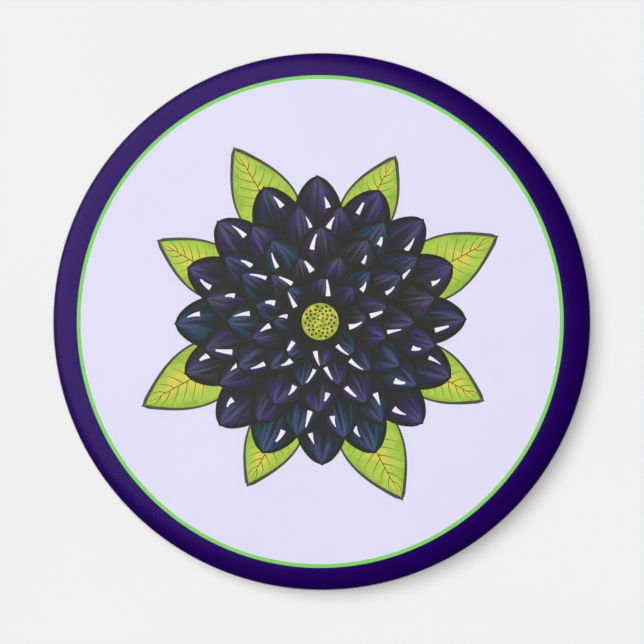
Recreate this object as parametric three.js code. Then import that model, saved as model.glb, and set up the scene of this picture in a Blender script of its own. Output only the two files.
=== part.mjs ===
// Round button fridge magnet. A domed steel shell carries a printed sheet under a clear film.
// Film and sheet run round the rim and are tucked in behind it, where a stamped back plate
// grips them. A ferrite disc magnet sits on the back plate on a thin adhesive pad.
//
// Millimetres, +Z towards the printed face. The origin is the centre of the magnet's flat face,
// which is what the object rests on.

import * as THREE from "three";

// Driving dimensions of the whole object
const OUTER_RADIUS = 28.575; // 2 1/4 in across, over the film
const TOTAL_HEIGHT = 5.6; // from the magnet's face to the crown's centre
const SEGMENTS = 48; // flats round each turned piece

// Crown and rim, measured on the outside of the film
const CROWN_DROP = 0.45; // how far the face falls from its centre to where the shoulder starts
const SHOULDER_WIDTH = 3.0; // rounded edge of the face, measured along the radius
const SHOULDER_DEPTH = 2.85; // and along the axis
const WALL_TOP = 2.3; // height where the shoulder ends and the straight wall starts
const CURL_RADIUS = 1.1; // the rim turning under
const CURL_HEIGHT = 1.45; // height of the curl's centre
const CURL_SWEEP = 160; // degrees that film and sheet follow the curl
const SHELL_SWEEP = 140; // degrees at which the shell's raw edge stops inside them
const TUCK_TOP = 2.0; // height where the tucked edge ends behind the rim

// Layers of the face, from the outside in
const FILM_THICKNESS = 0.08;
const SHEET_THICKNESS = 0.12;
const SHELL_THICKNESS = 0.25;
const LAYER_GAP = 0.02; // clearance between pressed layers

// Stamped back plate, measured on the side that faces the fridge
const PLATE_THICKNESS = 0.25;
const PLATE_HEIGHT = 3.25; // flat middle
const PLATE_BEND_RADIUS = 22.5; // where the flat turns down into the flange
const BEAD_RADIUS = 16.5; // centre line of the stiffening bead
const BEAD_WIDTH = 3.0;
const BEAD_DEPTH = 0.6;
const FLANGE_FOOT = [25.3, 1.0]; // radius and height of the lowest part of the flange
const LIP_EDGE = [26.27, 1.22]; // the rolled lip's edge, against the tucked film

// Magnet and its pad
const MAGNET_RADIUS = 12.5;
const MAGNET_THICKNESS = 3.0;
const MAGNET_CHAMFER = 0.3;
const PAD_RADIUS = 12.2;
const PAD_THICKNESS = 0.2;

const CROWN_STEPS = 3;
const SHOULDER_STEPS = 5;
const CURL_STEP = 20; // degrees
const BEAD_STEPS = 6;
const BEND_STEPS = 3;

const radians = THREE.MathUtils.degToRad;

function arc(centre, radiusR, radiusZ, fromDegrees, toDegrees, steps) {
  // Points on an ellipse's quarter or less, with the angle counted from the radius towards +Z
  return Array.from({ length: steps + 1 }, (_, i) => {
    const angle = radians(THREE.MathUtils.lerp(fromDegrees, toDegrees, i / steps));
    return [centre[0] + radiusR * Math.cos(angle), centre[1] + radiusZ * Math.sin(angle)];
  });
}

function rimPath(inset, sweepDegrees) {
  // One skin of the face from the axis outwards, over the shoulder, down the wall and round the
  // curl. Each skin lies inset millimetres inside the outermost one.
  const shoulderCentre = [OUTER_RADIUS - SHOULDER_WIDTH, WALL_TOP];
  const slopeDegrees = 2.1; // the crown's fall where it meets the shoulder
  const shoulder = arc(
    shoulderCentre,
    SHOULDER_WIDTH - inset,
    SHOULDER_DEPTH - inset,
    90 - slopeDegrees,
    0,
    SHOULDER_STEPS,
  );
  const crownEdge = shoulder[0][0];
  const crown = Array.from({ length: CROWN_STEPS }, (_, i) => {
    const share = i / CROWN_STEPS;
    return [crownEdge * share, TOTAL_HEIGHT - inset - CROWN_DROP * share * share];
  });
  const curl = arc(
    [OUTER_RADIUS - CURL_RADIUS, CURL_HEIGHT],
    CURL_RADIUS - inset,
    CURL_RADIUS - inset,
    0,
    -sweepDegrees,
    sweepDegrees / CURL_STEP,
  );
  return [...crown, ...shoulder, ...curl];
}

function tuckPoint(inset) {
  // The free edge of a tucked layer: straight on from the end of the curl up to the tuck's top
  const angle = radians(-CURL_SWEEP);
  const radius = CURL_RADIUS - inset;
  const r = OUTER_RADIUS - CURL_RADIUS + radius * Math.cos(angle);
  const z = CURL_HEIGHT + radius * Math.sin(angle);
  const rise = TUCK_TOP - z;
  return [r + (rise * Math.sin(angle)) / -Math.cos(angle), TUCK_TOP];
}

function turned(profile) {
  // Turns a closed profile of [radius, height] points round the Z axis
  const points = profile.map(([r, z]) => new THREE.Vector2(r, z));
  return new THREE.LatheGeometry(points, SEGMENTS).rotateX(Math.PI / 2);
}

function tuckedLayer(inset, thickness) {
  // A skin that runs round the curl and into the tuck, as film and sheet do
  const inner = inset + thickness;
  return turned([
    ...rimPath(inner, CURL_SWEEP),
    tuckPoint(inner),
    tuckPoint(inset),
    ...rimPath(inset, CURL_SWEEP).reverse(),
  ]);
}

function curledShell(inset, thickness) {
  // The steel shell stops inside the curl, with a raw edge square to the metal
  return turned([
    ...rimPath(inset + thickness, SHELL_SWEEP),
    ...rimPath(inset, SHELL_SWEEP).reverse(),
  ]);
}

function offsetPath(path, distance) {
  // Moves an open path sideways, to its left, keeping each stretch parallel to where it was
  return path.map((point, i) => {
    const before = path[Math.max(i - 1, 0)];
    const after = path[Math.min(i + 1, path.length - 1)];
    const sides = [
      [before, point],
      [point, after],
    ]
      .filter(([from, to]) => from !== to)
      .map(([from, to]) => {
        const length = Math.hypot(to[0] - from[0], to[1] - from[1]);
        return [-(to[1] - from[1]) / length, (to[0] - from[0]) / length];
      });
    const sum = sides.reduce((a, b) => [a[0] + b[0], a[1] + b[1]], [0, 0]);
    const reach = (distance * sides.length) / (sum[0] ** 2 + sum[1] ** 2);
    return [point[0] + sum[0] * reach, point[1] + sum[1] * reach];
  });
}

function backPlate() {
  // A flat pan with a round bead, a conical flange and a lip rolled out against the tucked film
  const bead = Array.from({ length: BEAD_STEPS + 1 }, (_, i) => {
    const share = i / BEAD_STEPS;
    const dip = (1 - Math.cos(2 * Math.PI * share)) / 2;
    return [BEAD_RADIUS + BEAD_WIDTH * (share - 0.5), PLATE_HEIGHT - BEAD_DEPTH * dip];
  });
  const bendStart = new THREE.Vector2(PLATE_BEND_RADIUS - 0.6, PLATE_HEIGHT);
  const bendCorner = new THREE.Vector2(PLATE_BEND_RADIUS, PLATE_HEIGHT);
  const bendEnd = new THREE.Vector2(PLATE_BEND_RADIUS + 0.5, PLATE_HEIGHT - 0.5);
  const bend = new THREE.QuadraticBezierCurve(bendStart, bendCorner, bendEnd);
  const lip = new THREE.QuadraticBezierCurve(
    new THREE.Vector2(FLANGE_FOOT[0] - 0.45, FLANGE_FOOT[1] + 0.45),
    new THREE.Vector2(...FLANGE_FOOT),
    new THREE.Vector2(...LIP_EDGE),
  );
  const points = (curve) => curve.getPoints(BEND_STEPS).map((p) => [p.x, p.y]);
  const outside = [[0, PLATE_HEIGHT], ...bead, ...points(bend), ...points(lip)];
  return turned([...outside, ...offsetPath(outside, PLATE_THICKNESS).reverse()]);
}

function adhesivePad() {
  const bottom = MAGNET_THICKNESS + LAYER_GAP;
  const top = bottom + PAD_THICKNESS;
  return turned([
    [0, bottom],
    [PAD_RADIUS, bottom],
    [PAD_RADIUS, top],
    [0, top],
  ]);
}

function discMagnet() {
  return turned([
    [0, 0],
    [MAGNET_RADIUS - MAGNET_CHAMFER, 0],
    [MAGNET_RADIUS, MAGNET_CHAMFER],
    [MAGNET_RADIUS, MAGNET_THICKNESS - MAGNET_CHAMFER],
    [MAGNET_RADIUS - MAGNET_CHAMFER, MAGNET_THICKNESS],
    [0, MAGNET_THICKNESS],
  ]);
}

function piece(name, geometry, color, roughness, metalness, extra = {}) {
  const material = new THREE.MeshStandardMaterial({ color, roughness, metalness, ...extra });
  const mesh = new THREE.Mesh(geometry, material);
  mesh.name = name;
  return mesh;
}

const sheetInset = FILM_THICKNESS + LAYER_GAP;
const shellInset = sheetInset + SHEET_THICKNESS + LAYER_GAP;

const group = new THREE.Group();
group.add(
  piece("clear_film", tuckedLayer(0, FILM_THICKNESS), 0xf4f5f7, 0.12, 0, {
    transparent: true,
    opacity: 0.25,
  }),
  piece("printed_sheet", tuckedLayer(sheetInset, SHEET_THICKNESS), 0xe3e0f5, 0.6, 0),
  piece("front_shell", curledShell(shellInset, SHELL_THICKNESS), 0xc4c6c8, 0.35, 0.9),
  piece("back_plate", backPlate(), 0xbfc2c4, 0.35, 0.9),
  piece("adhesive_pad", adhesivePad(), 0xe9e6dc, 0.9, 0),
  piece("disc_magnet", discMagnet(), 0x3a3a3c, 0.75, 0),
);

export default group;
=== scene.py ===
"""Round button fridge magnet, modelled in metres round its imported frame.

A domed steel shell carries a printed sheet under a clear film. Film and sheet run round the rim
and are tucked in behind it by a stamped back plate, which holds a ferrite disc magnet on a foam
pad. The print is a flower rosette on a pale panel inside a thin ring, with a dark border.

Every new piece is a surface worked out with numpy. It is either an outline carried round the Z
axis, or a flat shape laid on the crowned face as a thin closed slab of ink.
"""

import math

import bpy
import numpy as np
from bpy.props import FloatProperty, FloatVectorProperty, IntProperty, PointerProperty
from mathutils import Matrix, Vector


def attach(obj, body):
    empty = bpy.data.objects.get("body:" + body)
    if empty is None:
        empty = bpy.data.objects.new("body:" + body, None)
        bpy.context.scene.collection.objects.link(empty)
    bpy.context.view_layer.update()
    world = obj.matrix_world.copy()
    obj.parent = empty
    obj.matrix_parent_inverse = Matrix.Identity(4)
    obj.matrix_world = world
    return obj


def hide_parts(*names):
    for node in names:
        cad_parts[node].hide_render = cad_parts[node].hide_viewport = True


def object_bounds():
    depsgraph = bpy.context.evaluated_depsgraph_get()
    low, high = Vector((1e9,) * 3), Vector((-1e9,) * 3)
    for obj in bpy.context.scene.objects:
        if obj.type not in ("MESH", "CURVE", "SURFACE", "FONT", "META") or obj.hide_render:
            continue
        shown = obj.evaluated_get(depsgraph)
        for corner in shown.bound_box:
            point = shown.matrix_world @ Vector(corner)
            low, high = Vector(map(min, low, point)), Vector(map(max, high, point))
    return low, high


bl_info = {
    "name": "Round fridge magnet",
    "version": (1, 0, 0),
    "blender": (4, 5, 0),
    "location": "View3D > Sidebar > Fridge magnet",
    "description": "Builds a round button fridge magnet piece by piece",
    "category": "Add Mesh",
}

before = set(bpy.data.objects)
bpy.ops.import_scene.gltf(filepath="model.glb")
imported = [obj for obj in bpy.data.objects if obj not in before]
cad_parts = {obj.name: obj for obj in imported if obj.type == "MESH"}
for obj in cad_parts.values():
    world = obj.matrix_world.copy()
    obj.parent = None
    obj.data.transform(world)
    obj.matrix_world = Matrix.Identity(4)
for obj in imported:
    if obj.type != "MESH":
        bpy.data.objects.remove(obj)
CAD_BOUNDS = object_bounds()
CAD_LOW, CAD_HIGH = CAD_BOUNDS

MM = 0.001
TURN = 2 * math.pi
BODY = "root"

# Rows of points along the parts of the face's outline
CROWN_ROWS = 14
SHOULDER_ROWS = 18
CURL_ROWS = 20
TUCK_ROWS = 4

# Steps round the Z axis of the pieces that have no setting for theirs
STEEL_SEGMENTS = 288
PAD_SEGMENTS = 240
DISC_SEGMENTS = 540
RING_SEGMENTS = 480

# Rows and columns of a leaf's and a petal's grid, and lines each way across the panel
LEAF_GRID = (41, 13)
PETAL_GRID = (25, 11)
PANEL_LINES = 91

# Radii between which the layers close up from their depths on the face to those round the rim
LOOSE_RADIUS = 26.7 * MM
TIGHT_RADIUS = 27.9 * MM

# Depths of the print's layers under the outside of the film, and the steps between them
PANEL_DEPTH = 0.168 * MM
RING_DEPTH = 0.163 * MM
LEAF_EDGE_DEPTH = 0.163 * MM
LEAF_DEPTH = 0.159 * MM
VEIN_DEPTH = 0.155 * MM
FIRST_PETAL_DEPTH = 0.151 * MM
PETAL_TIER_RISE = 0.0155 * MM
PETAL_TILT = 0.0105 * MM
INK_STEP = 0.004 * MM
INK_THICKNESS = 0.004 * MM

# How fine the mottle of drawn lines is, and the leaves' and petals' own
LINE_MOTTLE = 0.8 * MM
WASH_MOTTLE = 2.2 * MM

# Where a glint sits across a petal, either side of its crease
GLINT_ACROSS = 0.42

# Each tier of petals, from the outside in: petals, start, tip and half width in millimetres
PETAL_TIERS = (
    (16, 6.0, 15.1, 2.55),
    (16, 4.0, 12.4, 2.25),
    (12, 2.8, 9.8, 2.35),
    (12, 1.7, 7.2, 1.8),
    (8, 1.0, 4.8, 1.65),
)


# ------------------------------------------ Settings ------------------------------------------


def printed(red, green, blue):
    """A colour given as 0 to 255 on a screen, as the linear colour that a shader takes."""
    share = np.array((red, green, blue)) / 255
    linear = np.where(share <= 0.04045, share / 12.92, ((share + 0.055) / 1.055) ** 2.4)
    return tuple(float(c) for c in linear)


def number(name, description, default, **more):
    """A setting that holds one number."""
    return FloatProperty(name=name, description=description, default=default, **more)


def length(name, description, millimetres):
    """A length, given in millimetres and kept in metres."""
    return number(name, description, millimetres * MM, unit="LENGTH", precision=5)


def angle(name, description, degrees):
    """An angle, given in degrees."""
    return number(name, description, math.radians(degrees), subtype="ANGLE")


def count(name, description, value):
    """A whole number setting."""
    return IntProperty(name=name, description=description, default=value, min=1)


def colour(name, description, *screen):
    """A colour setting, given as 0 to 255 on a screen."""
    limits = {"subtype": "COLOR", "size": 3, "min": 0.0, "max": 1.0}
    return FloatVectorProperty(
        name=name, description=description, default=printed(*screen), **limits
    )


class FaceSizes(bpy.types.PropertyGroup):
    """Shape of the face and rim, measured on the outside of the film"""

    radius: length("Radius", "Outside radius over the film", (CAD_HIGH[0] - CAD_LOW[0]) / 2 / MM)
    top: length("Top", "Height of the crown's centre", CAD_HIGH[2] / MM)
    crown_drop: length("Crown drop", "Fall of the face from centre to shoulder", 0.45)
    crown_slope: angle("Crown slope", "Slope of the face where the shoulder starts", 2.1)
    shoulder_width: length("Shoulder width", "Rounded edge along the radius", 3.0)
    shoulder_depth: length("Shoulder depth", "Rounded edge along the axis", 2.85)
    wall_top: length("Wall top", "Height where the shoulder ends", 2.3)
    curl_radius: length("Curl radius", "Radius of the rim turning under", 1.1)
    curl_height: length("Curl height", "Height of the curl's centre", 1.45)
    curl_sweep: angle("Curl sweep", "How far film and sheet follow the curl", 160)
    shell_sweep: angle("Shell sweep", "Where the steel's raw edge stops", 140)
    tuck_top: length("Tuck top", "Height of the tucked edge", 2.0)
    segments: count("Segments", "Steps round the pleated layers", 720)


class LayerSizes(bpy.types.PropertyGroup):
    """Depths of the pressed layers under the outside of the film"""

    film_thickness: length("Film", "Thickness of the clear film", 0.05)
    sheet_depth: length("Sheet depth", "Depth of the sheet's front on the face", 0.172)
    sheet_rim_depth: length("Sheet depth at rim", "Depth of the sheet's front round the rim", 0.06)
    sheet_back_depth: length("Sheet back", "Depth of the sheet's back on the face", 0.232)
    sheet_rim_back_depth: length("Sheet back at rim", "The same round the rim", 0.16)
    shell_depth: length("Shell depth", "Depth of the steel's outside", 0.25)
    shell_thickness: length("Shell", "Thickness of the steel", 0.24)


class PleatSizes(bpy.types.PropertyGroup):
    """Small gathers where film and sheet are drawn in behind the rim"""

    number: count("Pleats", "Gathers round the rim", 96)
    height: length("Height", "How far a gather stands off the steel", 0.17)
    uneven: number("Unevenness", "How much spacing and height vary", 0.55)


class PlateSizes(bpy.types.PropertyGroup):
    """Stamped back plate, measured on the side that faces the fridge"""

    thickness: length("Thickness", "Thickness of the tinplate", 0.25)
    height: length("Height", "Height of the flat middle", 3.25)
    bend_radius: length("Bend radius", "Where the flat turns down", 22.5)
    bead_radius: length("Bead radius", "Centre line of the stiffening bead", 16.5)
    bead_width: length("Bead width", "Width of the bead", 3.0)
    bead_depth: length("Bead depth", "Depth of the bead", 0.6)
    foot_radius: length("Foot radius", "Radius of the flange's lowest part", 25.3)
    foot_height: length("Foot height", "Height of the flange's lowest part", 1.0)
    lip_radius: length("Lip radius", "Radius of the rolled lip's edge", 26.27)
    lip_height: length("Lip height", "Height of the rolled lip's edge", 1.22)


class MagnetSizes(bpy.types.PropertyGroup):
    """Ferrite disc and the foam pad that holds it"""

    radius: length("Radius", "Radius of the disc", 12.5)
    thickness: length("Thickness", "Thickness of the disc", 3.0)
    edge: length("Edge", "Width of the ground edge", 0.3)
    chip: length("Chips", "Depth of the largest chip in an edge", 0.16)
    pad_radius: length("Pad radius", "Radius of the foam pad", 12.2)
    pad_gap: length("Pad gap", "Clearance over the disc", 0.02)
    pad_thickness: length("Pad thickness", "Thickness of the foam pad", 0.2)


class PrintSizes(bpy.types.PropertyGroup):
    """Layout of the print, which sits a little off centre"""

    shift_x: length("Shift X", "How far the print sits off centre", -0.16)
    shift_y: length("Shift Y", "How far the print sits off centre", -0.004)
    ring_outer_x: length("Ring outer X", "Outer half width of the ring", 25.743)
    ring_outer_y: length("Ring outer Y", "Outer half height of the ring", 26.054)
    ring_width: length("Ring width", "Width of the ring's line", 0.4)
    leaves: count("Leaves", "Leaves round the flower", 8)
    leaf_tip: length("Leaf tip", "Radius of the longer leaves' tips", 20.4)
    leaf_start: length("Leaf start", "Radius where a leaf starts", 7.6)
    leaf_half_width: length("Leaf half width", "Half width of the longer leaves", 3.1)
    outline: length("Outline", "Width of the drawn outline", 0.22)
    vein: length("Vein", "Half width of a leaf's midrib", 0.075)
    heart_radius: length("Heart radius", "Radius of the flower's heart", 1.95)
    heart_dots: count("Heart dots", "Dots in the flower's heart", 46)


class PrintColours(bpy.types.PropertyGroup):
    """Inks of the print"""

    panel: colour("Panel", "Pale lavender panel", 226, 223, 245)
    ring: colour("Ring", "Thin green ring", 134, 212, 108)
    border: colour("Border", "Dark indigo border", 35, 3, 93)
    border_gloss: colour("Border gloss", "Tint of the heavy ink's gloss", 248, 124, 255)
    drawing_ink: colour("Drawing ink", "Olive black of outlines and shade", 45, 46, 39)
    leaf_ink: colour("Leaf ink", "Softer ink round the leaves", 80, 82, 66)
    vein_ink: colour("Vein ink", "Olive of the leaves' veins", 98, 112, 46)
    leaf: colour("Leaf", "Yellow green of the leaves", 170, 203, 80)
    leaf_glow: colour("Leaf glow", "Yellow along the midrib", 216, 207, 88)
    leaf_shade: colour("Leaf shade", "Deeper green near the edges", 136, 174, 62)
    violet: colour("Violet", "Violet wash on petals", 72, 46, 114)
    indigo: colour("Indigo", "Indigo wash on petals", 48, 43, 91)
    navy: colour("Navy", "Navy wash on petals", 38, 45, 87)
    teal: colour("Teal", "Teal wash on petals", 40, 76, 95)
    slate: colour("Slate", "Grey violet wash on petals", 64, 60, 71)
    haze: colour("Haze", "Pale bloom near a petal's tip", 89, 89, 127)
    glint: colour("Glint", "White of the glints", 240, 234, 242)
    heart: colour("Heart", "Olive green heart", 150, 168, 62)


class StageSettings(bpy.types.PropertyGroup):
    """Camera, floor and lights"""

    view_width: length("View width", "Width of the view at the rim's height", 68.51)
    view_x: length("View X", "Where the view is centred", 0.027)
    view_y: length("View Y", "Where the view is centred", -0.053)
    camera_height: length("Camera height", "Height of the camera", 452.3)
    light_from: angle("Light from", "Direction of the key light round the object", 143)
    key_elevation: angle("Key elevation", "Height of the key light above the floor", 66)
    key_spread: angle("Key spread", "How wide the key light looks from the object", 34)
    key_share: number("Key share", "Key light's share of the floor's brightness", 0.5)
    overhead_spread: angle("Overhead spread", "How wide the overhead light looks", 18)
    edge_glow: number("Edge glow", "Brightness of the floor's glow on the rim's edge", 1.5)
    edge_spread: angle("Edge glow spread", "How wide the floor's glow looks", 170)
    back_brightness: number("Back brightness", "Brightness of the light on the back", 0.7)
    back_from: angle("Back light from", "Direction of the light on the back", 60)
    back_depth: angle("Back light depth", "How far below the floor that light is", 65)
    back_spread: angle("Back light spread", "How wide that light looks", 110)
    room_share: number("Room share", "The room's share of the floor's brightness", 0.025)
    floor_light: number("Floor light", "Light on the floor, where 1 shows its own colour", 1.059)
    sheen_from: angle("Sheen from", "Direction of the light that only the gloss shows", 150)
    sheen_elevation: angle("Sheen elevation", "Height of that light", 31)
    sheen_spread: angle("Sheen spread", "How wide that light looks", 123)
    sheen_brightness: number("Sheen brightness", "How bright that light looks in a mirror", 0.58)
    floor: colour("Floor", "Pale floor", 234, 234, 234)


class MagnetSettings(bpy.types.PropertyGroup):
    """Everything a user can change on the fridge magnet"""

    face: PointerProperty(type=FaceSizes)
    layers: PointerProperty(type=LayerSizes)
    pleats: PointerProperty(type=PleatSizes)
    plate: PointerProperty(type=PlateSizes)
    magnet: PointerProperty(type=MagnetSizes)
    print_sizes: PointerProperty(type=PrintSizes)
    inks: PointerProperty(type=PrintColours)
    stage: PointerProperty(type=StageSettings)


def settings():
    """The fridge magnet's settings in the current scene."""
    return bpy.context.scene.fridge_magnet


# ------------------------------------------- Meshes -------------------------------------------


def joined(*parts):
    """Points from their coordinates, each of them an array or one number."""
    return np.stack(np.broadcast_arrays(*parts), axis=-1)


def turns(steps):
    """Angles of this many equal steps round the Z axis."""
    return np.arange(steps) / steps * TURN


def eased(value, start, end):
    """0 up to the start and 1 from the end on, with 3 s^2 - 2 s^3 between."""
    share = np.clip((value - start) / (end - start), 0, 1)
    return share * share * (3 - 2 * share)


def square_to(path):
    """Unit directions square to a path of (radius, height) rows, on its left-hand side."""
    heading = np.gradient(path, axis=0)
    heading /= np.linalg.norm(heading, axis=1, keepdims=True)
    return joined(-heading[:, 1], heading[:, 0])


def new_object(name, data):
    """A new object in the scene, which holds a mesh, a light or the camera."""
    holder = bpy.data.objects.new(name, data)
    bpy.context.scene.collection.objects.link(holder)
    return holder


def mesh_piece(name, points, faces, materials, face_materials=None, crease=40):
    """A new object from arrays of points and faces, smooth except where it turns sharply."""
    mesh = bpy.data.meshes.new(name)
    mesh.from_pydata(np.reshape(points, (-1, 3)).tolist(), [], faces)
    for material in materials:
        mesh.materials.append(material)
    if face_materials is not None:
        mesh.polygons.foreach_set("material_index", np.asarray(face_materials, dtype=np.int32))
    mesh.polygons.foreach_set("use_smooth", np.ones(len(mesh.polygons), dtype=bool))
    mesh.set_sharp_from_angle(angle=math.radians(crease))
    mesh.update()
    return new_object(name, mesh)


def turned_piece(name, outline, segments, materials, row_materials=None, ripple=0.0, crease=40):
    """Carries a closed outline of (radius, height) rows round the Z axis.

    The outline starts on the axis, runs out along the underside and comes back over the top to
    the axis. At angle a, a row lies at (radius cos a, radius sin a, height). The first and last
    rows close in one point each. A ripple holds a move in radius and height for every angle
    and row.
    """
    turn = turns(segments)
    rows = np.broadcast_to(outline + ripple, (segments, len(outline), 2))[:, 1:-1]
    radius, height = rows[..., 0].T, rows[..., 1].T
    rings = joined(radius * np.cos(turn), radius * np.sin(turn), height)
    poles = [(0.0, 0.0, outline[0, 1]), (0.0, 0.0, outline[-1, 1])]
    index = np.arange(radius.size).reshape(radius.shape)
    after = np.roll(index, -1, axis=1)
    quads = joined(index[:-1], after[:-1], after[1:], index[1:]).reshape(-1, 4)
    first_fan = joined(radius.size, after[0], index[0])
    last_fan = joined(radius.size + 1, index[-1], after[-1])
    faces = quads.tolist() + first_fan.tolist() + last_fan.tolist()
    if row_materials is not None:
        fans_last = [*row_materials[1:-1], row_materials[0], row_materials[-1]]
        row_materials = np.repeat(fans_last, segments)
    points = np.concatenate([rings.reshape(-1, 3), poles])
    return mesh_piece(name, points, faces, materials, row_materials, crease)


def slab_faces(copies, rows, columns, looped):
    """Faces of thin closed slabs: each copy is a grid on top, its twin below, and walls between.

    A looped slab joins its last row to its first, and then has no end walls.
    """
    top = np.arange(copies * rows * columns).reshape(copies, rows, columns)
    low = top + top.size
    if looped:
        here, under = top, low
        ahead, below = np.roll(top, -1, axis=1), np.roll(low, -1, axis=1)
    else:
        here, under, ahead, below = top[:, :-1], low[:, :-1], top[:, 1:], low[:, 1:]
    groups = [
        (here[..., :-1], ahead[..., :-1], ahead[..., 1:], here[..., 1:]),
        (under[..., 1:], below[..., 1:], below[..., :-1], under[..., :-1]),
        (here[..., 0], under[..., 0], below[..., 0], ahead[..., 0]),
        (ahead[..., -1], below[..., -1], under[..., -1], here[..., -1]),
    ]
    if not looped:
        groups += [
            (top[:, 0, 1:], low[:, 0, 1:], low[:, 0, :-1], top[:, 0, :-1]),
            (top[:, -1, :-1], low[:, -1, :-1], low[:, -1, 1:], top[:, -1, 1:]),
        ]
    return np.concatenate([joined(*group).reshape(-1, 4) for group in groups])


def add_print_map(piece, rows, columns):
    """Stores how far along and across its motif each corner lies, from 0 to 1, as a UV map."""
    corners = np.empty(len(piece.data.loops), dtype=np.int32)
    piece.data.loops.foreach_get("vertex_index", corners)
    row, column = corners // columns % rows, corners % columns
    places = joined(row / (rows - 1), column / (columns - 1))
    layer = piece.data.uv_layers.new(name="PrintMap")
    layer.data.foreach_set("uv", places.astype(np.float32).ravel())


def printed_piece(name, places, depth, material, looped=False, tone=None):
    """Thin slabs of ink laid on the face, from grids of x and y for each copy of a motif.

    The top of a slab follows the face at the given depth under the outside of the film, and its
    underside lies one ink thickness lower. A tone for each copy is there for its material.
    """
    x, y, depth = np.broadcast_arrays(*places, depth)
    move = settings().print_sizes
    x, y = x + move.shift_x, y + move.shift_y
    height = face_height(np.hypot(x, y)) - depth
    points = np.stack([joined(x, y, height), joined(x, y, height - INK_THICKNESS)])
    piece = mesh_piece(name, points, slab_faces(*x.shape, looped).tolist(), [material])
    add_print_map(piece, *x.shape[1:])
    if tone is not None:
        values = np.broadcast_to(tone[:, None, None], (2, *x.shape)).astype(np.float32)
        attribute = piece.data.attributes.new(name="tone", type="FLOAT", domain="POINT")
        attribute.data.foreach_set("value", values.ravel())
    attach(piece, BODY)
    return piece


# -------------------------------------- Shape of the face --------------------------------------


def face_skin(sweep, tucked):
    """The outside of the film as (radius, height) rows, from the axis to the layer's free edge.

    The crown is a parabola, the shoulder part of an ellipse, the wall straight and the curl part
    of a circle that turns under. The tuck runs straight on from the curl. Also gives each row's
    outward direction and how far round the curl it lies, in radians.
    """
    face = settings().face
    fall = np.linspace(math.pi / 2 - face.crown_slope, 0, SHOULDER_ROWS)
    shoulder = joined(
        face.radius - face.shoulder_width * (1 - np.cos(fall)),
        face.wall_top + face.shoulder_depth * np.sin(fall),
    )
    share = np.linspace(0, 1, CROWN_ROWS)[:-1]
    crown = joined(shoulder[0, 0] * share, face.top - face.crown_drop * share**2)
    wall = [(face.radius, (face.wall_top + face.curl_height) / 2)]
    turned = np.linspace(0, sweep, CURL_ROWS)
    curl = joined(
        face.radius - face.curl_radius * (1 - np.cos(turned)),
        face.curl_height - face.curl_radius * np.sin(turned),
    )
    parts = [crown, shoulder, wall, curl]
    round_curl = [np.zeros(len(crown) + len(shoulder) + len(wall)), turned]
    if tucked:
        heading = np.array([-math.sin(sweep), -math.cos(sweep)])
        run = (face.tuck_top - curl[-1, 1]) / heading[1]
        parts.append(curl[-1] + np.linspace(0, run, TUCK_ROWS + 1)[1:, None] * heading)
        round_curl.append(np.full(TUCK_ROWS, sweep))
    skin = np.concatenate(parts)
    outward = square_to(skin)
    outward[0] = (0, 1)
    return skin, outward, np.concatenate(round_curl)


def face_height(radius):
    """Height of the film's outside over the crown and shoulder, at a distance from the axis."""
    skin, _, _ = face_skin(settings().face.curl_sweep, tucked=False)
    rising = np.argmax(skin[:, 0]) + 1
    return np.interp(radius, skin[:rising, 0], skin[:rising, 1])


def gathers(round_curl, segments):
    """How far film and sheet stand off the steel, for each angle and row of the skin.

    Round the rim, a gather is a narrow ridge where a sine with uneven spacing passes zero, with
    wide flat valleys between. Ridges grow round the curl and are pressed flatter where the lip
    of the back plate holds them.
    """
    pleats, face = settings().pleats, settings().face
    turn = turns(segments)
    chance = np.random.default_rng(7)
    waves = np.arange(2, 15)
    drift, swell = (
        sum(np.sin(k * turn + chance.uniform(0, TURN)) * chance.uniform(0.3, 1.0) for k in each)
        for each in (waves, waves * 3)
    )
    sharpness, crinkle = 1.4, 0.12
    phase = pleats.number / 2 * turn + pleats.uneven * drift
    ridge = (1 - np.abs(np.sin(phase))) ** sharpness
    ridge += crinkle * (1 + np.cos(4 * phase + drift))
    ridge *= np.clip(0.6 + 0.3 * pleats.uneven * swell, 0.08, 1.0)
    growing = eased(round_curl, 0.6, 1.8)
    held = np.clip((face.curl_sweep - round_curl) / 0.7, 0, 1)
    return pleats.height * ridge[:, None] * (growing * (0.3 + 0.7 * held))[None, :]


def layer_outline(outer_depth, inner_depth, skin, outward):
    """Closed outline of a layer between two depths, each one number or one for each row."""
    inner = skin - outward * np.reshape(inner_depth, (-1, 1))
    outer = skin - outward * np.reshape(outer_depth, (-1, 1))
    return np.concatenate([inner, outer[::-1]])


def pleated_layer(name, outer_depth, inner_depth, materials, row_materials):
    """A thin layer wrapped over the face, round the rim and into the tuck, with its gathers."""
    face = settings().face
    skin, outward, round_curl = face_skin(face.curl_sweep, tucked=True)
    outline = layer_outline(outer_depth, inner_depth, skin, outward)
    lift = gathers(round_curl, face.segments)[..., None] * outward
    ripple = np.concatenate([lift, lift[:, ::-1]], axis=1)
    return turned_piece(
        name, outline, face.segments, materials, row_materials, ripple, crease=70
    )


# ------------------------------------------ Materials ------------------------------------------


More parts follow.
